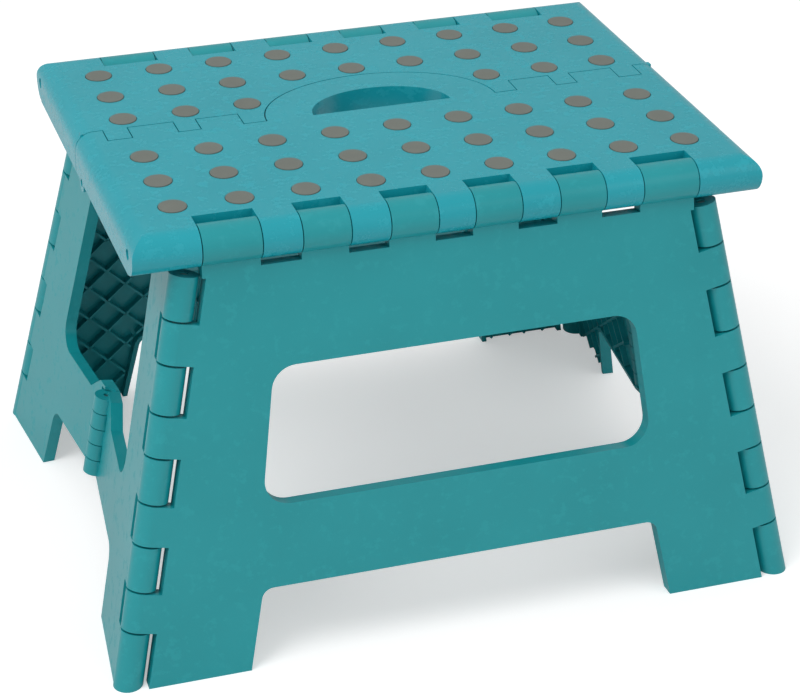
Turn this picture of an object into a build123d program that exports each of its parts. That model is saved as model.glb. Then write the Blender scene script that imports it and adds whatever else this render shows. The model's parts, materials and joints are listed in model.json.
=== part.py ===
from build123d import *
import math
import os

# Folding step stool. Millimetres, +Z up, feet on z = 0, origin at the centre of the footprint.
# X runs along the tread, -Y is the front. Modelled open, standing, with the tread flat.

HEIGHT = 218.0            # floor to tread surface
TREAD_LENGTH = 300.0      # along X
TREAD_DEPTH = 219.0       # along Y, over both rolled edges
ROLL_RADIUS = 9.5         # rolled front and rear edges and the hinge knuckles in them
END_RADIUS = 9.0          # rounded left and right edges of the tread
FOLD_DROP = 20.0          # tread surface down to the centre fold axis
UNDERSIDE_GAP = 0.3       # underside of the tread above the fold axis
TREAD_SKIN = 3.0
TREAD_WALL = 4.0

LEG_TILT = 9.0            # degrees the leg panels lean out at the foot
EDGE_SLANT = 11.6         # degrees the leg edges splay in the panel's plane
CORNER_AT_HINGE = 122.0   # centre line to the corner hinge axis, at the top hinge's level
LEG_FACE = 3.8            # outer face of the leg panel outside its top hinge axis
LEG_SKIN = 2.8
LEG_WALL = 2.6
LEG_TOP = 12.0            # top hinge axis down to the panel's top edge

CORNER_RADIUS = 7.0       # corner hinge barrels
CORNER_EDGE = 8.5         # corner hinge axis to the panels' edges
SIDE_BEND = 6.0           # degrees each side half leans in from straight
SIDE_FACE = 6.6           # corner hinge axis to the side half's outer face
SIDE_INNER = 0.5          # corner hinge axis to the side half's inner edge
SIDE_SKIN = 2.6
SIDE_WALL = 2.4
SIDE_TOP_GAP = 2.0        # side half's top edge below the tread
BAND_WIDTH = 45.0         # side half's upright band, from the corner axis
BAND_TOP_WIDTH = 40.0
FOOT_WIDTH = 55.0
WEB_LOW = 34.0            # bottom and top of the web that runs to the middle hinge
WEB_HIGH = 72.0

MIDDLE_RADIUS = 6.0       # middle hinge barrels on the side halves
MIDDLE_PLANE = 7.0        # corner hinge axis to the plane of the middle hinge axis
MIDDLE_LOW = 37.0
MIDDLE_HIGH = 80.0
MIDDLE_RELIEF = 8.6       # clear distance round the other half's barrels
MIDDLE_PIN_RADIUS = 1.5
MIDDLE_PLAY = 3.0         # running play of the middle hinge, which lets the sides fold

TOP_PIN_RADIUS = 2.5
FOLD_PIN_RADIUS = 2.0
CORNER_PIN_RADIUS = 2.0
PIN_FIT = 0.08
PIN_INSET = 1.5
GAP = 0.5                 # gap beside each knuckle
ROUND_GAP = 0.6           # gap round each knuckle
SEAM = 0.3                # half the seam between the tread halves

LEG_KNUCKLES = [(9.0, 31.0), (50.0, 72.0), (91.0, 118.0)]
FRONT_TABS = [(70.0, 90.5), (102.0, 124.0), (136.5, 150.0)]
REAR_KNUCKLES = [(91.0, 101.5), (124.5, 136.0)]
TAB_REACH = 12.0
FOLD_RADIUS = 4.5
SIDE_KNUCKLES = [(-3.0, 27.0), (48.0, 69.0), (90.0, 111.0), (132.0, 154.0), (175.0, 195.0)]
CORNER_LEG_KNUCKLES = [(28.0, 47.0), (70.0, 89.0), (112.0, 131.0), (155.0, 174.0)]

HANDLE_HALF_WIDTH = 58.0
HANDLE_REACH = 41.0
SLOT_HALF_LENGTH = 35.0
SLOT_REACH = 24.0

WINDOW_LOW = 81.0
WINDOW_HIGH = 148.0
WINDOW_LOW_HALF = 97.0
WINDOW_HIGH_HALF = 88.0
WINDOW_RADIUS = 12.0
ARCH_HEIGHT = 40.0
ARCH_TOP_HALF = 99.0
ARCH_FOOT_HALF = 107.0
ARCH_RADIUS = 6.0
FOOT_ROUND = 8.0
BELOW = 12.0              # how far outlines run under the floor before they are cut there

DOT_RADIUS = 6.5
DOT_PITCH = 31.0
DOT_COLUMNS = 9
DOT_ROWS = [22.5, 50.3, 78.0]
DOT_DEPTH = 0.8
DOT_PROUD = 0.4
DOT_GAP = 0.3
REACH = 400.0             # longer than any piece

hinge_y = TREAD_DEPTH / 2 - ROLL_RADIUS
hinge_z = HEIGHT - ROLL_RADIUS
fold_z = HEIGHT - FOLD_DROP
underside = fold_z + UNDERSIDE_GAP
tilt = math.radians(LEG_TILT)
slant = math.radians(EDGE_SLANT)
bend = math.radians(SIDE_BEND)
corner_depth = LEG_FACE - CORNER_RADIUS

leg_plane = Plane(
    origin=(0, -hinge_y, hinge_z), x_dir=(1, 0, 0), z_dir=(0, -math.cos(tilt), math.sin(tilt))
)


def box(x0, x1, y0, y1, z0, z1):
    """A box between two corners."""
    return Pos((x0 + x1) / 2, (y0 + y1) / 2, (z0 + z1) / 2) * Box(x1 - x0, y1 - y0, z1 - z0)


def rod(start, end, radius):
    """A round bar from one point to another."""
    start, end = Vector(*start), Vector(*end)
    along = end - start
    return extrude(Plane(origin=start, z_dir=along) * Circle(radius), along.length)


def both_sides(ranges):
    """The ranges given for +X, with their mirror images."""
    return [(a, b) for a, b in ranges] + [(-b, -a) for a, b in ranges]


def drop(z):
    """How far down the leg panel a height is, from the top hinge axis."""
    return (hinge_z - z) / math.cos(tilt)


def corner_x(down):
    """Centre line to the corner hinge axis, at a distance down the leg panel."""
    return CORNER_AT_HINGE + down * math.tan(slant)


# The left front corner hinge axis, and the plane of the side half that turns on it.
axis_floor_drop = (hinge_z + corner_depth * math.sin(tilt)) / math.cos(tilt)
corner_top = Vector(*leg_plane.from_local_coords((-corner_x(0), 0, corner_depth)))
corner_foot = Vector(
    *leg_plane.from_local_coords((-corner_x(axis_floor_drop), -axis_floor_drop, corner_depth))
)
corner_up = (corner_top - corner_foot).normalized()
straight = (Vector(0, 1, 0) - corner_up * corner_up.Y).normalized()
outward = corner_up.cross(straight)
side_along = straight * math.cos(bend) - outward * math.sin(bend)
side_out = outward * math.cos(bend) + straight * math.sin(bend)
side_plane = Plane(origin=corner_foot, x_dir=side_along, z_dir=side_out * -1)


def side_point(out, z):
    """A point in the side half's plane, from its distance to the corner axis and its height."""
    return out, (z - out * side_along.Z) / corner_up.Z


def corner_at(z):
    """The point of the corner hinge axis at a height."""
    return corner_foot + corner_up * (z / corner_up.Z)


def middle_at(z):
    """The point of the middle hinge axis at a height. It lies on the plane Y = 0."""
    base = corner_foot + side_out * MIDDLE_PLANE
    up = z
    for _ in range(20):
        point = base + corner_up * up
        point = point + side_along * (-point.Y / side_along.Y)
        up += (z - point.Z) / corner_up.Z
    return point


def tray(outline, holes, face, skin, wall, inner):
    """A panel: a skin at its outer face with a wall round its edge and each hole."""
    plate = outline
    pocket = offset(outline, -wall)
    for hole in holes:
        plate = plate - hole
        pocket = pocket - offset(hole, wall)
    depth = abs(face - inner)
    sign = 1 if face > inner else -1
    body = extrude(Pos(0, 0, inner) * plate, sign * depth)
    hollow = extrude(Pos(0, 0, inner - sign) * pocket, sign * (depth - skin + 1))
    return body - hollow


def leg_panel():
    """The front leg panel, with its top and corner hinge knuckles."""
    edge = CORNER_EDGE / math.cos(slant)
    foot = axis_floor_drop + BELOW
    outline = make_face(Polyline(
        (-corner_x(LEG_TOP) + edge, -LEG_TOP),
        (corner_x(LEG_TOP) - edge, -LEG_TOP),
        (corner_x(foot) - edge, -foot),
        (-corner_x(foot) + edge, -foot),
        close=True,
    ))
    window = make_face(Polyline(
        (-WINDOW_HIGH_HALF, -drop(WINDOW_HIGH)), (WINDOW_HIGH_HALF, -drop(WINDOW_HIGH)),
        (WINDOW_LOW_HALF, -drop(WINDOW_LOW)), (-WINDOW_LOW_HALF, -drop(WINDOW_LOW)), close=True,
    ))
    window = fillet(window.vertices(), WINDOW_RADIUS)
    below = foot + BELOW
    arch = make_face(Polyline(
        (-ARCH_TOP_HALF, -drop(ARCH_HEIGHT)), (ARCH_TOP_HALF, -drop(ARCH_HEIGHT)),
        (ARCH_FOOT_HALF, -drop(0)), (ARCH_FOOT_HALF, -below),
        (-ARCH_FOOT_HALF, -below), (-ARCH_FOOT_HALF, -drop(0)), close=True,
    ))
    arch = fillet(arch.vertices().sort_by(Axis.Y)[-2:], ARCH_RADIUS)
    panel = tray(outline, [window, arch], LEG_FACE, LEG_SKIN, LEG_WALL, corner_depth)
    for x0, x1 in both_sides(LEG_KNUCKLES):
        neck = box(x0, x1, -LEG_TOP - LEG_WALL, 0, corner_depth, LEG_FACE)
        panel += neck + rod((x0, 0, 0), (x1, 0, 0), ROLL_RADIUS)
    panel -= rod((-REACH, 0, 0), (REACH, 0, 0), TOP_PIN_RADIUS + PIN_FIT)
    panel = leg_plane * panel
    panel = panel & box(-REACH, REACH, -REACH, REACH, 0, REACH)
    for side in (1, -1):
        for z0, z1 in CORNER_LEG_KNUCKLES:
            panel += corner_knuckle(z0, z1, leg_plane, side)
        bore = rod(corner_at(-20), corner_at(fold_z + 20), CORNER_PIN_RADIUS + PIN_FIT)
        panel -= bore if side > 0 else mirror(bore, about=Plane.YZ)
    return panel


def corner_knuckle(z0, z1, plane, side):
    """A leg knuckle of the corner hinge and the tab that joins it to the panel."""
    start, end = corner_at(z0), corner_at(z1)
    knuckle = rod(start, end, CORNER_RADIUS)
    length = (end - start).length
    frame = Plane(origin=start, x_dir=corner_up.cross(plane.z_dir), z_dir=plane.z_dir)
    tab = frame * box(0, CORNER_EDGE + LEG_WALL - 0.4, 0, length, 0, CORNER_RADIUS)
    if tab.center().X < start.X:
        tab = frame * box(-CORNER_EDGE - LEG_WALL + 0.4, 0, 0, length, 0, CORNER_RADIUS)
    knuckle += tab
    return knuckle if side > 0 else mirror(knuckle, about=Plane.YZ)


def nearest_corner(face, place):
    """The corner of a flat outline that lies at a place."""
    return face.vertices().sort_by_distance((place[0], place[1], 0))[0]


def side_half(own, other, bore_radius):
    """The left front side half, with its corner knuckles and its share of the middle hinge."""
    reach_low = side_plane.to_local_coords(middle_at(WEB_LOW)).X
    reach_high = side_plane.to_local_coords(middle_at(MIDDLE_HIGH)).X
    outline = make_face(Polyline(
        side_point(CORNER_EDGE, -BELOW), side_point(FOOT_WIDTH, -BELOW),
        side_point(FOOT_WIDTH, WEB_LOW), side_point(reach_low + 3, WEB_LOW),
        side_point(reach_high + 3, MIDDLE_HIGH + 1), side_point(reach_high - 12, MIDDLE_HIGH + 1),
        side_point(reach_high - 22, WEB_HIGH), side_point(BAND_WIDTH, WEB_HIGH),
        side_point(BAND_TOP_WIDTH, HEIGHT), side_point(CORNER_EDGE, HEIGHT), close=True,
    ))
    outline = fillet([nearest_corner(outline, side_point(BAND_WIDTH, WEB_HIGH))], WINDOW_RADIUS)
    outline = fillet([nearest_corner(outline, side_point(FOOT_WIDTH, WEB_LOW))], FOOT_ROUND)
    panel = side_plane * tray(outline, [], -SIDE_FACE, SIDE_SKIN, SIDE_WALL, -SIDE_INNER)
    keep = box(-REACH, REACH, -REACH, -SEAM, 0, underside - SIDE_TOP_GAP)
    panel = panel & keep
    for z0, z1 in SIDE_KNUCKLES:
        start = side_plane.to_local_coords(corner_at(z0)).Y
        end = side_plane.to_local_coords(corner_at(z1)).Y
        tab = box(0, CORNER_EDGE + SIDE_WALL - 0.4, start, end, -SIDE_FACE, -SIDE_INNER)
        panel += side_plane * tab
        panel += rod(corner_at(z0), corner_at(z1), CORNER_RADIUS)
    panel -= rod(corner_at(-20), corner_at(fold_z + 20), CORNER_PIN_RADIUS + PIN_FIT)
    panel = panel & box(-REACH, REACH, -REACH, REACH, 0, REACH)
    for z0, z1 in other:
        panel -= rod(middle_at(z0 - GAP), middle_at(z1 + GAP), MIDDLE_RELIEF)
    for z0, z1 in own:
        panel += rod(middle_at(z0), middle_at(z1), MIDDLE_RADIUS)
    return panel - rod(middle_at(MIDDLE_LOW - 20), middle_at(MIDDLE_HIGH + 20), bore_radius)


def middle_ranges():
    """Heights of the front half's three and the rear half's two middle hinge barrels."""
    step = (MIDDLE_HIGH - MIDDLE_LOW + GAP) / 5
    spans = [(MIDDLE_LOW + i * step, MIDDLE_LOW + (i + 1) * step - GAP) for i in range(5)]
    return spans[0::2], spans[1::2]


def tread_blank():
    """The front tread half as a rolled-edge tray without its centre fold."""
    profile = make_face(Polyline(
        (-hinge_y, underside), (-SEAM, underside), (-SEAM, HEIGHT), (-hinge_y, HEIGHT), close=True,
    )) + Pos(-hinge_y, hinge_z) * Circle(ROLL_RADIUS)
    half = TREAD_LENGTH / 2
    body = extrude(Plane(origin=(-half, 0, 0), x_dir=(0, 1, 0), z_dir=(1, 0, 0)) * profile, 2 * half)
    end_height = HEIGHT - underside + 1
    ends = make_face(Polyline(
        (-half, HEIGHT - end_height), (half, HEIGHT - end_height), (half, HEIGHT), (-half, HEIGHT),
        close=True,
    ))
    ends = fillet(ends.vertices().sort_by(Axis.Y)[-2:], END_RADIUS)
    body = body & extrude(Plane(origin=(0, -REACH, 0), x_dir=(1, 0, 0), z_dir=(0, -1, 0)) * ends,
                          -2 * REACH)
    pocket_front = hinge_y - ROLL_RADIUS - ROUND_GAP - TREAD_WALL
    body -= box(-half + TREAD_WALL, half - TREAD_WALL, -pocket_front, -FOLD_RADIUS - 1 - TREAD_WALL,
                underside - 1, HEIGHT - TREAD_SKIN)
    for x0, x1 in both_sides(LEG_KNUCKLES):
        notch_back = hinge_y - ROLL_RADIUS - ROUND_GAP
        body -= box(x0 - GAP, x1 + GAP, -hinge_y - 2 * ROLL_RADIUS, -notch_back, 0, HEIGHT + 1)
    return body - rod((-REACH, -hinge_y, hinge_z), (REACH, -hinge_y, hinge_z),
                      TOP_PIN_RADIUS + PIN_FIT)


def handle_face(grow):
    """Outline of the handle tongue in plan, from the seam back, grown by a clearance."""
    oval = Ellipse(HANDLE_HALF_WIDTH + grow, HANDLE_REACH + grow)
    return oval & Pos(0, REACH / 2 - 1) * Rectangle(REACH, REACH)


def hand_slot():
    """The D-shaped slot for the fingers, straight along the seam."""
    oval = Ellipse(SLOT_HALF_LENGTH, SLOT_REACH)
    cut = oval & Pos(0, REACH / 2) * Rectangle(REACH, REACH)
    return extrude(Pos(0, 0, underside - 10) * cut, FOLD_DROP + 20)


def dot_places(row):
    """Columns of one row of grip dots. The row by the handle leaves out its middle three."""
    columns = range(-(DOT_COLUMNS // 2), DOT_COLUMNS // 2 + 1)
    return [i * DOT_PITCH for i in columns if row != "rear" or abs(i) > 1]


def sink_dots(body, sign):
    """Cut the shallow recesses that hold the grip dots."""
    for number, y in enumerate(DOT_ROWS):
        row = "rear" if sign > 0 and number == 0 else "full"
        for x in dot_places(row):
            body -= Pos(x, sign * y, HEIGHT) * Cylinder(DOT_RADIUS + DOT_GAP, 2 * DOT_DEPTH)
    return body


def tread_front():
    """The front tread half, with the fold tabs and the handle tongue."""
    body = tread_blank()
    tongue = extrude(Pos(0, 0, underside) * handle_face(0), HEIGHT - underside)
    body = body + tongue - hand_slot()
    for x0, x1 in both_sides(REAR_KNUCKLES):
        body -= box(x0 - GAP, x1 + GAP, -FOLD_RADIUS - ROUND_GAP, 1,
                    0, fold_z + FOLD_RADIUS + ROUND_GAP)
    half = TREAD_LENGTH / 2
    for x0, x1 in both_sides(FRONT_TABS):
        outer = max(abs(x0), abs(x1)) >= half
        tab = box(x0, x1, -FOLD_RADIUS - 1, TAB_REACH, underside, HEIGHT)
        if outer:
            edge = tab.edges().filter_by(Axis.Y).group_by(Axis.Z)[-1]
            edge = edge.sort_by(Axis.X)[-1] if x1 > 0 else edge.sort_by(Axis.X)[0]
            tab = fillet(edge, END_RADIUS)
        body += tab + rod((x0, 0, fold_z), (x1, 0, fold_z), FOLD_RADIUS)
    body -= rod((-REACH, 0, fold_z), (-HANDLE_HALF_WIDTH - 5, 0, fold_z), FOLD_PIN_RADIUS + PIN_FIT)
    body -= rod((HANDLE_HALF_WIDTH + 5, 0, fold_z), (REACH, 0, fold_z), FOLD_PIN_RADIUS + PIN_FIT)
    return sink_dots(body, -1)


def tread_rear():
    """The rear tread half, notched for the tabs and the handle tongue."""
    body = mirror(tread_blank(), about=Plane.XZ)
    body -= extrude(Pos(0, 0, underside - 10) * handle_face(ROUND_GAP), FOLD_DROP + 20)
    rim = extrude(Pos(0, 0, underside) * (handle_face(TREAD_WALL) - handle_face(ROUND_GAP)),
                  HEIGHT - TREAD_SKIN - underside)
    body += rim & box(-REACH, REACH, SEAM, REACH, 0, REACH)
    for x0, x1 in both_sides(FRONT_TABS):
        edge0 = x0 - GAP if x0 > -TREAD_LENGTH / 2 else x0 - 1
        edge1 = x1 + GAP if x1 < TREAD_LENGTH / 2 else x1 + 1
        body += box(max(x0 - 3, -TREAD_LENGTH / 2 + 3), min(x1 + 3, TREAD_LENGTH / 2 - 3),
                    TAB_REACH, TAB_REACH + TREAD_WALL, underside, HEIGHT - 1)
        body -= box(edge0, edge1, -REACH, TAB_REACH + ROUND_GAP, 0, HEIGHT + 1)
    for x0, x1 in both_sides(REAR_KNUCKLES):
        body += box(x0, x1, 0, FOLD_RADIUS + 2, fold_z, fold_z + FOLD_RADIUS)
        body += rod((x0, 0, fold_z), (x1, 0, fold_z), FOLD_RADIUS)
    body -= rod((-REACH, 0, fold_z), (-HANDLE_HALF_WIDTH - 5, 0, fold_z), FOLD_PIN_RADIUS + PIN_FIT)
    body -= rod((HANDLE_HALF_WIDTH + 5, 0, fold_z), (REACH, 0, fold_z), FOLD_PIN_RADIUS + PIN_FIT)
    return sink_dots(body, 1)


def grip_row(y, row):
    """One row of grip dots, standing a little proud of the tread."""
    height = DOT_DEPTH + DOT_PROUD
    dot = Cylinder(DOT_RADIUS, height)
    dot = fillet(dot.edges().group_by(Axis.Z)[-1], DOT_PROUD / 2)
    centre_z = HEIGHT - DOT_DEPTH + height / 2
    return Compound([Pos(x, y, centre_z) * dot for x in dot_places(row)])


def front_to_rear(shape):
    return mirror(shape, about=Plane.XZ)


def left_to_right(shape):
    return mirror(shape, about=Plane.YZ)


def save(name, shape):
    export_step(shape, "parts/" + name + ".step")


def build():
    os.makedirs("parts", exist_ok=True)
    front_leg = leg_panel()
    save("front_leg_panel", front_leg)
    save("rear_leg_panel", front_to_rear(front_leg))
    save("front_tread_half", tread_front())
    save("rear_tread_half", tread_rear())

    front_spans, rear_spans = middle_ranges()
    front_side = side_half(front_spans, rear_spans, MIDDLE_PIN_RADIUS + PIN_FIT)
    rear_side = front_to_rear(side_half(rear_spans, front_spans, MIDDLE_PIN_RADIUS + MIDDLE_PLAY))
    save("front_left_side_half", front_side)
    save("front_right_side_half", left_to_right(front_side))
    save("rear_left_side_half", rear_side)
    save("rear_right_side_half", left_to_right(rear_side))

    pin_half = TREAD_LENGTH / 2 - PIN_INSET
    top_pin = rod((-pin_half, -hinge_y, hinge_z), (pin_half, -hinge_y, hinge_z), TOP_PIN_RADIUS)
    save("front_top_hinge_pin", top_pin)
    save("rear_top_hinge_pin", front_to_rear(top_pin))
    fold_start = FRONT_TABS[0][0] + PIN_INSET
    fold_pin = rod((-pin_half, 0, fold_z), (-fold_start, 0, fold_z), FOLD_PIN_RADIUS)
    save("left_centre_fold_pin", fold_pin)
    save("right_centre_fold_pin", left_to_right(fold_pin))

    corner_pin = rod(corner_at(PIN_INSET), corner_at(SIDE_KNUCKLES[-1][1] - 0.5),
                     CORNER_PIN_RADIUS)
    save("front_left_corner_pin", corner_pin)
    save("front_right_corner_pin", left_to_right(corner_pin))
    save("rear_left_corner_pin", front_to_rear(corner_pin))
    save("rear_right_corner_pin", left_to_right(front_to_rear(corner_pin)))
    middle_pin = rod(middle_at(MIDDLE_LOW + 0.5), middle_at(MIDDLE_HIGH - 0.5), MIDDLE_PIN_RADIUS)
    save("left_middle_hinge_pin", middle_pin)
    save("right_middle_hinge_pin", left_to_right(middle_pin))

    for number, y in enumerate(DOT_ROWS):
        save("front_grip_row_" + str(number + 1), grip_row(-y, "full"))
        save("rear_grip_row_" + str(number + 1), grip_row(y, "rear" if number == 0 else "full"))


build()
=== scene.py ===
import json
import math

import bmesh
import bpy
from bpy.props import FloatProperty, FloatVectorProperty, IntProperty, PointerProperty
from mathutils import Matrix, Vector


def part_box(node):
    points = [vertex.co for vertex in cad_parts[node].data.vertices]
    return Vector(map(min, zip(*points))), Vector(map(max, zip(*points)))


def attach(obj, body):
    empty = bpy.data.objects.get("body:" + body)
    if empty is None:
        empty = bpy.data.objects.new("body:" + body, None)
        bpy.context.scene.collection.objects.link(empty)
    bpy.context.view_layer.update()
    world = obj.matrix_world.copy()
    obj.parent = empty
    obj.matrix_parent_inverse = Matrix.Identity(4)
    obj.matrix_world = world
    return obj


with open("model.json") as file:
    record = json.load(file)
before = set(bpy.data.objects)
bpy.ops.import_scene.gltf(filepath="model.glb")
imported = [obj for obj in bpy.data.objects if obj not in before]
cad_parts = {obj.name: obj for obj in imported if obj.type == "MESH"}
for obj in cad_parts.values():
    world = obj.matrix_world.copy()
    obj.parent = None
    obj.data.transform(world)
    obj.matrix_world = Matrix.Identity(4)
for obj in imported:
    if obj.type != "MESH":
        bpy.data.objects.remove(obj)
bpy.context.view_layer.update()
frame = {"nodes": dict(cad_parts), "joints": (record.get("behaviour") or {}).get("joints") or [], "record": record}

bl_info = {
    "name": "Folding Step Stool",
    "version": (1, 0, 0),
    "blender": (4, 5, 0),
    "location": "View3D > Sidebar > Stool",
    "description": "Finishes a folding plastic step stool around its packed frame",
    "category": "Object",
}

TREAD_NODES = ("front_tread_half", "rear_tread_half")
LEG_NODES = ("front_leg_panel", "rear_leg_panel")
SIDE_NODES = (
    "front_left_side_half", "front_right_side_half", "rear_left_side_half", "rear_right_side_half",
)
PIN_NODES = tuple(name for name in frame["nodes"] if name.endswith("_pin"))
DOT_NODES = tuple(name for name in frame["nodes"] if "grip_row" in name)
NODE_BODY = {
    node: body for body, nodes in frame["record"]["behaviour"]["bodies"].items() for node in nodes
}


# Camera: eye point in metres, then the turn of its line of sight.
CAMERA_EYE = Vector((-0.3345, -1.0047, 0.6787))
CAMERA_AZIMUTH = math.radians(-16.2)
CAMERA_ELEVATION = math.radians(29.4)
CAMERA_ROLL = math.radians(-0.4)
CAMERA_SHIFT = 0.125
SENSOR_WIDTH = 36.0       # millimetres

FLOOR_GLOW = 0.42         # lifts the floor to white for the camera and keeps its shadow
WORLD_STRENGTH = 0.62
KEY_LAMP = ((-1.2, -0.6, 2.0), 1.2, 20.0)     # place, size, power
FILL_LAMP = ((1.6, -1.6, 1.4), 1.6, 4.0)

# Ribs under the tread, in metres.
TREAD_RIB_DEPTH = 0.012
TREAD_RIB_END = 0.005     # ribs start this far in from the tread's ends
TREAD_RIB_SKIN = 0.0025   # ribs' tops lie this far below the tread half's highest point
TREAD_RIB_FRONT_SEAM = 0.0105
TREAD_RIB_REAR_SEAM = 0.017
TREAD_RIB_EDGE = 0.0235   # ribs stop this far in from the tread's front and rear edges
HANDLE_RIB_HALF_WIDTH = 0.0605
HANDLE_RIB_REACH = 0.046
HANDLE_RIB_CORNERS = 12

# Gaps that the ribs of the legs and sides keep, in metres.
RIB_FLOOR_GAP = 0.002
SIDE_RIB_TOP_GAP = 0.003
SIDE_BAND_TAPER = 0.005   # the upright band is this much narrower at its top
SHORTEST_STRETCH = 0.01   # share of a rib's line; shorter stretches are left out


class StoolPlastic(bpy.types.PropertyGroup):
    """Colours and finish of the moulded plastic."""
    tread_colour: FloatVectorProperty(
        name="Tread colour", description="Plastic of the tread halves", subtype="COLOR", size=3,
        min=0.0, max=1.0, default=(0.006, 0.360, 0.435))
    panel_colour: FloatVectorProperty(
        name="Panel colour", description="Plastic of the leg and side panels", subtype="COLOR",
        size=3, min=0.0, max=1.0, default=(0.006, 0.315, 0.350))
    dot_colour: FloatVectorProperty(
        name="Dot colour", description="Rubber of the grip dots", subtype="COLOR", size=3,
        min=0.0, max=1.0, default=(0.165, 0.180, 0.158))
    grain_size: FloatProperty(
        name="Grain size", description="Pitch of the moulded grain", unit="LENGTH",
        min=0.0001, default=0.0006)


class StoolRibs(bpy.types.PropertyGroup):
    """Sizes of the diamond ribs inside the mouldings."""
    pitch: FloatProperty(
        name="Rib pitch", description="Distance between parallel ribs", unit="LENGTH",
        min=0.005, default=0.0145)
    thickness: FloatProperty(
        name="Rib thickness", description="Thickness of each rib", unit="LENGTH",
        min=0.0005, default=0.0013)
    inset: FloatProperty(
        name="Rib inset", description="Ribs stop this far inside the wall's edge", unit="LENGTH",
        min=0.0, default=0.0005)
    wall: FloatProperty(
        name="Edge wall", description="Thickness of the wall round each leg panel",
        unit="LENGTH", default=0.0026)
    edge: FloatProperty(
        name="Edge set back", description="Corner hinge axis to the leg panel edge",
        unit="LENGTH", default=0.0087)
    panel_top: FloatProperty(
        name="Panel top", description="Leg panel ribs start this far under the top hinge",
        unit="LENGTH", default=0.0146)
    opening_margin: FloatProperty(
        name="Opening margin", description="Ribs stay this far outside a stated opening",
        unit="LENGTH", default=0.0045)
    leg_depth: FloatProperty(
        name="Leg depth", description="Top hinge axis in to the leg panel inner edge",
        unit="LENGTH", default=0.0032)
    leg_skin: FloatProperty(
        name="Leg skin", description="Top hinge axis out to the inner face of the leg skin",
        unit="LENGTH", default=0.0012)
    middle_offset: FloatProperty(
        name="Middle hinge offset", description="Middle hinge axis outside the corner hinge axis",
        unit="LENGTH", default=0.007)
    side_inner: FloatProperty(
        name="Side inner edge", description="Corner hinge axis to the side half inner edge",
        unit="LENGTH", default=0.0005)
    side_skin: FloatProperty(
        name="Side skin", description="Corner hinge axis to the inner face of the side skin",
        unit="LENGTH", default=0.0042)
    side_near: FloatProperty(
        name="Side rib start", description="Corner hinge axis to the first side rib",
        unit="LENGTH", default=0.0109)
    side_far: FloatProperty(
        name="Side rib end", description="Side ribs stop this far before the middle hinge",
        unit="LENGTH", default=0.0135)
    side_band: FloatProperty(
        name="Side band", description="Width of the ribbed upright band",
        unit="LENGTH", default=0.0426)
    side_foot: FloatProperty(
        name="Side foot", description="Width of the ribbed foot",
        unit="LENGTH", default=0.0526)
    side_web_low: FloatProperty(
        name="Web bottom", description="Height of the lowest web rib",
        unit="LENGTH", default=0.0364)
    side_web_high: FloatProperty(
        name="Web top", description="Height of the highest web rib",
        unit="LENGTH", default=0.0696)


class StoolStage(bpy.types.PropertyGroup):
    """Floor, lamps and camera."""
    floor_colour: FloatVectorProperty(
        name="Floor colour", description="Pale floor and backdrop", subtype="COLOR", size=3,
        min=0.0, max=1.0, default=(0.80, 0.80, 0.80))
    focal_length: FloatProperty(
        name="Focal length", description="Camera focal length in millimetres", min=1.0,
        default=106.3)
    sweep_steps: IntProperty(
        name="Sweep steps", description="Segments of the backdrop's curve", min=4, default=24)


def node_tree(material):
    material.use_nodes = True
    material.node_tree.nodes.clear()
    return material.node_tree


def add_node(tree, kind, **values):
    node = tree.nodes.new(kind)
    for name, value in values.items():
        setattr(node, name, value)
    return node


def grain_group():
    """Fine moulded grain with broad mottling, as heights and masks from Object coordinates."""
    group = bpy.data.node_groups.get("Moulded grain")
    if group:
        return group
    group = bpy.data.node_groups.new("Moulded grain", "ShaderNodeTree")
    group.interface.new_socket("Grain scale", in_out="INPUT", socket_type="NodeSocketFloat")
    group.interface.new_socket("Height", in_out="OUTPUT", socket_type="NodeSocketFloat")
    group.interface.new_socket("Mottle", in_out="OUTPUT", socket_type="NodeSocketFloat")
    group.interface.new_socket("Scuff", in_out="OUTPUT", socket_type="NodeSocketFloat")
    entry = add_node(group, "NodeGroupInput")
    leave = add_node(group, "NodeGroupOutput")
    place = add_node(group, "ShaderNodeTexCoord")
    grain = add_node(group, "ShaderNodeTexNoise")
    grain.inputs["Detail"].default_value = 3.0
    mottle = add_node(group, "ShaderNodeTexNoise")
    mottle.inputs["Scale"].default_value = 22.0
    mottle.inputs["Detail"].default_value = 4.0
    scuff = add_node(group, "ShaderNodeTexNoise")
    scuff.inputs["Scale"].default_value = 160.0
    scuff.inputs["Detail"].default_value = 6.0
    scuff.inputs["Roughness"].default_value = 0.7
    sharpen = add_node(group, "ShaderNodeMapRange")
    sharpen.inputs["From Min"].default_value = 0.55
    sharpen.inputs["From Max"].default_value = 0.62
    links = group.links
    for texture in (grain, mottle, scuff):
        links.new(place.outputs["Object"], texture.inputs["Vector"])
    links.new(entry.outputs["Grain scale"], grain.inputs["Scale"])
    links.new(scuff.outputs["Fac"], sharpen.inputs["Value"])
    links.new(grain.outputs["Fac"], leave.inputs["Height"])
    links.new(mottle.outputs["Fac"], leave.inputs["Mottle"])
    links.new(sharpen.outputs["Result"], leave.inputs["Scuff"])
    return group


def blend_colours(tree, factor, first, second):
    """A Mix node between two colours."""
    mix = add_node(tree, "ShaderNodeMix", data_type="RGBA")
    tree.links.new(factor, mix.inputs[0])
    mix.inputs[6].default_value = (*first, 1.0)
    mix.inputs[7].default_value = (*second, 1.0)
    return mix.outputs[2]


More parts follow.
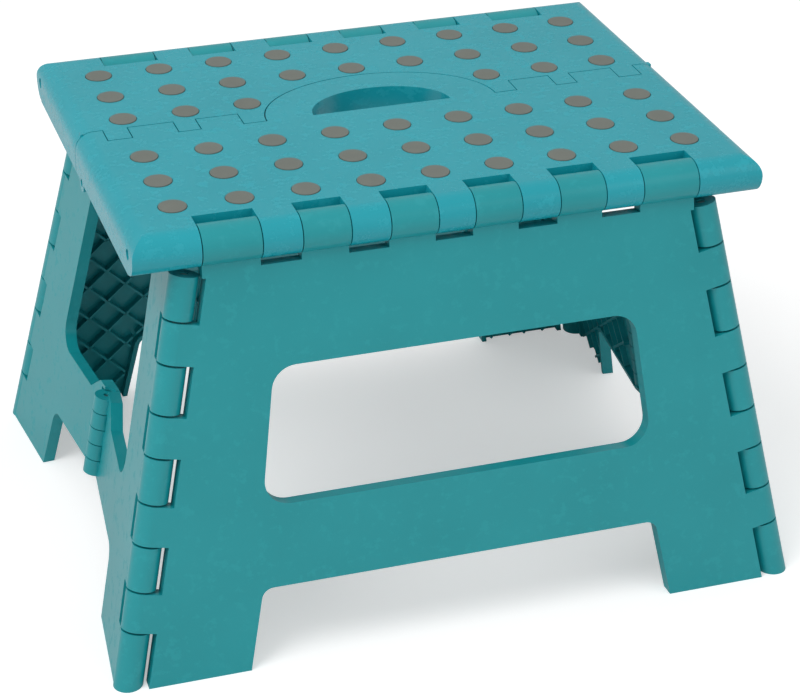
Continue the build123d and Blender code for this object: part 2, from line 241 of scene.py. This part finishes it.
def grained_material(name, colour, grain_scale, rough_low, rough_high, depth):
    """Moulded plastic or rubber: grain, mottling and scuffs on one base colour."""
    material = bpy.data.materials.new(name)
    tree = node_tree(material)
    links = tree.links
    leave = add_node(tree, "ShaderNodeOutputMaterial")
    shader = add_node(tree, "ShaderNodeBsdfPrincipled")
    grain = add_node(tree, "ShaderNodeGroup", node_tree=grain_group())
    grain.inputs["Grain scale"].default_value = grain_scale
    darker = tuple(c * 0.90 for c in colour)
    lighter = tuple(min(1.0, c * 1.08 + 0.004) for c in colour)
    worn = tuple(min(1.0, c * 1.05 + 0.006) for c in colour)
    base = blend_colours(tree, grain.outputs["Mottle"], darker, lighter)
    rub = add_node(tree, "ShaderNodeMix", data_type="RGBA")
    links.new(grain.outputs["Scuff"], rub.inputs[0])
    links.new(base, rub.inputs[6])
    rub.inputs[7].default_value = (*worn, 1.0)
    links.new(rub.outputs[2], shader.inputs["Base Color"])
    rough = add_node(tree, "ShaderNodeMapRange")
    rough.inputs["To Min"].default_value = rough_low
    rough.inputs["To Max"].default_value = rough_high
    links.new(grain.outputs["Scuff"], rough.inputs["Value"])
    links.new(rough.outputs["Result"], shader.inputs["Roughness"])
    bump = add_node(tree, "ShaderNodeBump")
    bump.inputs["Strength"].default_value = 0.35
    bump.inputs["Distance"].default_value = depth
    links.new(grain.outputs["Height"], bump.inputs["Height"])
    links.new(bump.outputs["Normal"], shader.inputs["Normal"])
    links.new(shader.outputs["BSDF"], leave.inputs["Surface"])
    return material


def pin_material():
    """Drawn steel of the hinge pins."""
    material = grained_material("Drawn pin steel", (0.46, 0.46, 0.45), 900.0, 0.3, 0.5, 0.00002)
    shader = material.node_tree.nodes["Principled BSDF"]
    shader.inputs["Metallic"].default_value = 1.0
    return material


def dress(node, material):
    """Give a CAD node a material in place of its plain one."""
    piece = bpy.data.objects[node]
    for slot in piece.material_slots:
        slot.material = material
    if not piece.material_slots:
        piece.data.materials.append(material)


def finish_piece(name, mesh_builder, body, material):
    """Turn a bmesh into an object that rides on a body."""
    bmesh.ops.remove_doubles(mesh_builder, verts=mesh_builder.verts, dist=1e-6)
    bmesh.ops.recalc_face_normals(mesh_builder, faces=mesh_builder.faces)
    mesh = bpy.data.meshes.new(name)
    mesh_builder.to_mesh(mesh)
    mesh_builder.free()
    mesh.materials.append(material)
    piece = bpy.data.objects.new(name, mesh)
    bpy.context.scene.collection.objects.link(piece)
    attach(piece, body)
    return piece


def material_named(name):
    """A material that the materials operator has made."""
    return bpy.data.materials[name]


def clip_segment(start, end, outline, holes):
    """The stretches of a rib's centre line that lie inside an outline and outside its holes."""
    cuts = [0.0, 1.0]
    along = end - start
    for ring in [outline] + holes:
        for index, corner in enumerate(ring):
            side = ring[(index + 1) % len(ring)] - corner
            cross = along.x * side.y - along.y * side.x
            if abs(cross) < 1e-12:
                continue
            gap = corner - start
            cut = (gap.x * side.y - gap.y * side.x) / cross
            share = (gap.x * along.y - gap.y * along.x) / cross
            if 0.0 < cut < 1.0 and 0.0 <= share <= 1.0:
                cuts.append(cut)
    cuts.sort()
    for first, second in zip(cuts, cuts[1:]):
        middle = start + along * ((first + second) / 2)
        if second - first > SHORTEST_STRETCH and inside(middle, outline):
            if not any(inside(middle, hole) for hole in holes):
                yield start + along * first, start + along * second


def inside(point, ring):
    """Whether a point lies inside a ring of corners."""
    result = False
    for index, corner in enumerate(ring):
        other = ring[index - 1]
        if (corner.y > point.y) != (other.y > point.y):
            reach = (other.x - corner.x) * (point.y - corner.y) / (other.y - corner.y) + corner.x
            if point.x < reach:
                result = not result
    return result


def rib_lattice(outline, holes, low, high, pitch, thickness, place):
    """Crossed diagonal ribs inside an outline, between two depths, placed by a matrix."""
    ribs = bmesh.new()
    left = min(p.x for p in outline)
    right = max(p.x for p in outline)
    bottom = min(p.y for p in outline)
    top = max(p.y for p in outline)
    tall = top - bottom
    step = pitch * math.sqrt(2.0)
    count = int((right - left + tall) / step) + 2
    for lean in (1, -1):
        for index in range(-1, count):
            foot = left - tall + index * step if lean > 0 else left + index * step
            start = Vector((foot, bottom))
            end = Vector((foot + lean * tall, top))
            for first, second in clip_segment(start, end, outline, holes):
                centre = (first + second) / 2
                length = (second - first).length
                turn = math.atan2(second.y - first.y, second.x - first.x)
                matrix = (
                    place
                    @ Matrix.Translation((centre.x, centre.y, (low + high) / 2))
                    @ Matrix.Rotation(turn, 4, "Z")
                    @ Matrix.Diagonal((length, thickness, high - low, 1.0))
                )
                bmesh.ops.create_cube(ribs, size=1.0, matrix=matrix)
    return ribs


def frame_matrix(origin, across, up, out):
    """Matrix that carries X, Y and Z to three directions from an origin."""
    matrix = Matrix((across, up, out)).transposed().to_4x4()
    matrix.translation = origin
    return matrix


def joint_named(name):
    return next(joint for joint in frame["joints"] if joint["name"] == name)


def corner_axis(front, side):
    """Foot point and upward direction of a corner hinge."""
    joint = joint_named(front + "_" + side + "_corner_hinge")
    up = Vector(joint["axis"]).normalized()
    return Vector(joint["pos_m"]), up if up.z > 0 else -up


def opening(name):
    """Lowest and highest corners of one of the stool's stated openings."""
    boxes = frame["record"]["physics"]["openings"]
    low, high = next(item["box_m"] for item in boxes if item["name"] == name)
    return Vector(low), Vector(high)


def handle_notch():
    """Half oval round the handle tongue's notch, which the rear ribs stay out of."""
    turns = [math.pi * step / HANDLE_RIB_CORNERS for step in range(HANDLE_RIB_CORNERS + 1)]
    return [
        Vector((HANDLE_RIB_HALF_WIDTH * math.cos(turn), HANDLE_RIB_REACH * math.sin(turn)))
        for turn in turns
    ]


class STOOL_OT_materials(bpy.types.Operator):
    """Make the stool's materials and put them on the frame's pieces"""
    bl_idname = "stool.materials"
    bl_label = "Stool Materials"

    def execute(self, context):
        look = context.scene.stool_plastic
        scale = 1.0 / look.grain_size
        tread = grained_material("Tread plastic", look.tread_colour, scale, 0.26, 0.40, 0.00003)
        panel = grained_material("Panel plastic", look.panel_colour, scale, 0.30, 0.44, 0.00003)
        rubber = grained_material("Grip dot rubber", look.dot_colour, scale, 0.62, 0.80, 0.00006)
        steel = pin_material()
        for node in TREAD_NODES:
            dress(node, tread)
        for node in LEG_NODES + SIDE_NODES:
            dress(node, panel)
        for node in DOT_NODES:
            dress(node, rubber)
        for node in PIN_NODES:
            dress(node, steel)
        return {"FINISHED"}


class STOOL_OT_tread_ribs(bpy.types.Operator):
    """Add the diamond ribs under both tread halves"""
    bl_idname = "stool.tread_ribs"
    bl_label = "Tread Ribs"

    def execute(self, context):
        sizes = context.scene.stool_ribs
        low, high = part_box("front_tread_half")
        edge = TREAD_RIB_END
        top = high[2] - TREAD_RIB_SKIN
        base = top - TREAD_RIB_DEPTH
        for node, facing in (("front_tread_half", -1), ("rear_tread_half", 1)):
            near = TREAD_RIB_FRONT_SEAM if facing < 0 else TREAD_RIB_REAR_SEAM
            far = abs(low[1]) - TREAD_RIB_EDGE
            ring = [
                Vector((low[0] + edge, facing * near)), Vector((high[0] - edge, facing * near)),
                Vector((high[0] - edge, facing * far)), Vector((low[0] + edge, facing * far)),
            ]
            holes = [handle_notch()] if facing > 0 else []
            ribs = rib_lattice(ring, holes, base, top, sizes.pitch, sizes.thickness,
                               Matrix.Identity(4))
            finish_piece(node + "_ribs", ribs, NODE_BODY[node],
                         material_named("Tread plastic"))
        return {"FINISHED"}


class STOOL_OT_leg_ribs(bpy.types.Operator):
    """Add the diamond ribs inside both leg panels"""
    bl_idname = "stool.leg_ribs"
    bl_label = "Leg Ribs"

    def execute(self, context):
        sizes = context.scene.stool_ribs
        for front, node, facing in (("front", "front_leg_panel", -1), ("rear", "rear_leg_panel", 1)):
            foot, corner_up = corner_axis(front, "right")
            hinge = Vector(joint_named(front + "_top_hinge")["pos_m"])
            out = Vector((1.0, 0.0, 0.0)).cross(corner_up).normalized()
            out = out if out.y * facing > 0 else -out
            across = Vector((1.0, 0.0, 0.0))
            up = Vector((0.0, corner_up.y, corner_up.z)).normalized()
            drop = hinge.z / up.z
            slope = corner_up.x / corner_up.dot(up)
            margin = sizes.wall + sizes.edge

            def half_width(down):
                return foot.x + slope * (drop - down) - margin

            floor = drop - RIB_FLOOR_GAP
            top = sizes.panel_top
            ring = [
                Vector((-half_width(top), -top)), Vector((half_width(top), -top)),
                Vector((half_width(floor), -floor)), Vector((-half_width(floor), -floor)),
            ]
            low, high = opening(front + "_window")
            grow = sizes.opening_margin
            shut = (hinge.z - high.z - grow) / up.z
            sill = (hinge.z - low.z + grow) / up.z
            wide = high.x + grow
            window = [
                Vector((-wide - grow, -shut)), Vector((wide + grow, -shut)),
                Vector((wide + 3 * grow, -sill)), Vector((-wide - 3 * grow, -sill)),
            ]
            low, high = opening(front + "_arch")
            roof = (hinge.z - high.z - grow) / up.z
            wide = high.x + grow
            arch = [
                Vector((-wide, -roof)), Vector((wide, -roof)),
                Vector((wide + 2 * grow, -floor - grow)), Vector((-wide - 2 * grow, -floor - grow)),
            ]
            ribs = rib_lattice(ring, [window, arch], -sizes.leg_depth + sizes.inset,
                               sizes.leg_skin, sizes.pitch, sizes.thickness,
                               frame_matrix(hinge, across, up, out))
            finish_piece(node + "_ribs", ribs, NODE_BODY[node],
                         material_named("Panel plastic"))
        return {"FINISHED"}


class STOOL_OT_side_ribs(bpy.types.Operator):
    """Add the diamond ribs inside the four side halves"""
    bl_idname = "stool.side_ribs"
    bl_label = "Side Ribs"

    def execute(self, context):
        sizes = context.scene.stool_ribs
        for front in ("front", "rear"):
            for side in ("left", "right"):
                node = front + "_" + side + "_side_half"
                foot, up = corner_axis(front, side)
                low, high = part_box(side + "_middle_hinge_pin")
                reach = (low + high) / 2 - foot
                reach -= up * reach.dot(up)
                lean = math.asin(sizes.middle_offset / reach.length)
                normal = up.cross(reach).normalized()
                normal = normal if normal.x * foot.x > 0 else -normal
                flat = reach.normalized()
                along = flat * math.cos(lean) - normal * math.sin(lean)
                out = normal * math.cos(lean) + flat * math.sin(lean)

                def at(distance, height):
                    return Vector((distance, (height - distance * along.z) / up.z))

                near = sizes.side_near
                far = reach.length - sizes.side_far
                band = sizes.side_band
                web_low, web_high = sizes.side_web_low, sizes.side_web_high
                foot_width = sizes.side_foot
                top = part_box(node)[1].z - SIDE_RIB_TOP_GAP
                ring = [
                    at(near, RIB_FLOOR_GAP), at(foot_width, RIB_FLOOR_GAP), at(foot_width, web_low),
                    at(far, web_low), at(far, web_high), at(band, web_high),
                    at(band - SIDE_BAND_TAPER, top), at(near, top),
                ]
                ribs = rib_lattice(ring, [], sizes.side_inner + sizes.inset, sizes.side_skin,
                                   sizes.pitch, sizes.thickness,
                                   frame_matrix(foot, along, up, out))
                finish_piece(node + "_ribs", ribs, NODE_BODY[node],
                             material_named("Panel plastic"))
        return {"FINISHED"}


class STOOL_OT_stage(bpy.types.Operator):
    """Set the floor, backdrop, lamps, world and camera"""
    bl_idname = "stool.stage"
    bl_label = "Stool Stage"

    def execute(self, context):
        settings = context.scene.stool_stage
        build_floor(settings)
        build_lamps()
        build_camera(settings)
        context.scene.view_settings.view_transform = "Standard"
        return {"FINISHED"}


def floor_material(colour):
    """Pale floor that the camera sees as white outside the shadow."""
    material = bpy.data.materials.new("Pale floor")
    tree = node_tree(material)
    leave = add_node(tree, "ShaderNodeOutputMaterial")
    shader = add_node(tree, "ShaderNodeBsdfPrincipled")
    noise = add_node(tree, "ShaderNodeTexNoise")
    noise.inputs["Scale"].default_value = 6.0
    place = add_node(tree, "ShaderNodeTexCoord")
    tree.links.new(place.outputs["Object"], noise.inputs["Vector"])
    tint = blend_colours(tree, noise.outputs["Fac"], tuple(colour),
                         tuple(min(1.0, c * 1.02) for c in colour))
    tree.links.new(tint, shader.inputs["Base Color"])
    shader.inputs["Roughness"].default_value = 0.9
    shader.inputs["Specular IOR Level"].default_value = 0.1
    glow = add_node(tree, "ShaderNodeEmission")
    path = add_node(tree, "ShaderNodeLightPath")
    seen = add_node(tree, "ShaderNodeMath", operation="MULTIPLY")
    seen.inputs[1].default_value = FLOOR_GLOW
    both = add_node(tree, "ShaderNodeAddShader")
    tree.links.new(path.outputs["Is Camera Ray"], seen.inputs[0])
    tree.links.new(seen.outputs["Value"], glow.inputs["Strength"])
    tree.links.new(shader.outputs["BSDF"], both.inputs[0])
    tree.links.new(glow.outputs["Emission"], both.inputs[1])
    tree.links.new(both.outputs["Shader"], leave.inputs["Surface"])
    return material


def build_floor(settings):
    """A floor that curves up into a backdrop behind the stool."""
    wide, front, back, rise, radius = 6.0, -3.5, 3.0, 4.0, 1.5
    builder = bmesh.new()
    profile = [Vector((-wide, front, 0.0))]
    for step in range(settings.sweep_steps + 1):
        turn = math.radians(90.0) * step / settings.sweep_steps
        profile.append(Vector((-wide, back + radius * math.sin(turn),
                               radius - radius * math.cos(turn))))
    profile.append(Vector((-wide, back + radius, rise)))
    corners = [builder.verts.new(point) for point in profile]
    edges = [builder.edges.new(pair) for pair in zip(corners, corners[1:])]
    grown = bmesh.ops.extrude_edge_only(builder, edges=edges)
    moved = [item for item in grown["geom"] if isinstance(item, bmesh.types.BMVert)]
    bmesh.ops.translate(builder, verts=moved, vec=(2 * wide, 0.0, 0.0))
    bmesh.ops.recalc_face_normals(builder, faces=builder.faces)
    mesh = bpy.data.meshes.new("floor")
    builder.to_mesh(mesh)
    builder.free()
    for face in mesh.polygons:
        face.use_smooth = True
    mesh.materials.append(floor_material(settings.floor_colour))
    floor = bpy.data.objects.new("floor", mesh)
    bpy.context.scene.collection.objects.link(floor)


def aim(obj, place, target):
    """Put an object at a place and turn its -Z to a target."""
    obj.location = place
    turn = (Vector(target) - Vector(place)).to_track_quat("-Z", "Y")
    obj.rotation_euler = turn.to_euler()


def area_lamp(name, place, size, power):
    light = bpy.data.lights.new(name, "AREA")
    light.shape = "DISK"
    light.size = size
    light.energy = power
    lamp = bpy.data.objects.new(name, light)
    bpy.context.scene.collection.objects.link(lamp)
    aim(lamp, place, (0.0, 0.0, 0.1))


def build_lamps():
    """Two soft lamps and an even world."""
    area_lamp("key_lamp", *KEY_LAMP)
    area_lamp("fill_lamp", *FILL_LAMP)
    world = bpy.context.scene.world or bpy.data.worlds.new("Studio")
    bpy.context.scene.world = world
    world.use_nodes = True
    background = world.node_tree.nodes["Background"]
    background.inputs["Color"].default_value = (1.0, 1.0, 1.0, 1.0)
    background.inputs["Strength"].default_value = WORLD_STRENGTH


def build_camera(settings):
    """The camera, from its eye point, aim and a slight roll."""
    data = bpy.data.cameras.new("camera")
    data.lens = settings.focal_length
    data.sensor_width = SENSOR_WIDTH
    data.shift_x = CAMERA_SHIFT
    data.clip_end = 50.0
    camera = bpy.data.objects.new("camera", data)
    bpy.context.scene.collection.objects.link(camera)
    camera.location = CAMERA_EYE
    camera.rotation_euler = camera_turn().to_euler()
    bpy.context.scene.camera = camera


def camera_turn():
    """The camera's turn from its azimuth, elevation and roll."""
    ahead = Vector((
        -math.sin(CAMERA_AZIMUTH) * math.cos(CAMERA_ELEVATION),
        math.cos(CAMERA_AZIMUTH) * math.cos(CAMERA_ELEVATION),
        -math.sin(CAMERA_ELEVATION),
    ))
    return ahead.to_track_quat("-Z", "Y") @ Matrix.Rotation(CAMERA_ROLL, 3, "Z").to_quaternion()


class STOOL_PT_panel(bpy.types.Panel):
    """Lists the stool's operators and sizes"""
    bl_idname = "STOOL_PT_panel"
    bl_label = "Folding Step Stool"
    bl_space_type = "VIEW_3D"
    bl_region_type = "UI"
    bl_category = "Stool"

    def draw(self, context):
        layout = self.layout
        for operator in OPERATORS:
            layout.operator(operator.bl_idname)
        for group in (context.scene.stool_plastic, context.scene.stool_ribs,
                      context.scene.stool_stage):
            for name in group.bl_rna.properties.keys():
                if name not in ("rna_type", "name"):
                    layout.prop(group, name)


GROUPS = (StoolPlastic, StoolRibs, StoolStage)
OPERATORS = (
    STOOL_OT_materials, STOOL_OT_tread_ribs, STOOL_OT_leg_ribs, STOOL_OT_side_ribs, STOOL_OT_stage,
)


def register():
    for kind in GROUPS + OPERATORS + (STOOL_PT_panel,):
        bpy.utils.register_class(kind)
    bpy.types.Scene.stool_plastic = PointerProperty(type=StoolPlastic)
    bpy.types.Scene.stool_ribs = PointerProperty(type=StoolRibs)
    bpy.types.Scene.stool_stage = PointerProperty(type=StoolStage)


def unregister():
    del bpy.types.Scene.stool_stage
    del bpy.types.Scene.stool_ribs
    del bpy.types.Scene.stool_plastic
    for kind in reversed(GROUPS + OPERATORS + (STOOL_PT_panel,)):
        bpy.utils.unregister_class(kind)


def main():
    register()
    bpy.ops.stool.materials()
    bpy.ops.stool.tread_ribs()
    bpy.ops.stool.leg_ribs()
    bpy.ops.stool.side_ribs()
    bpy.ops.stool.stage()


if __name__ == "__main__":
    main()
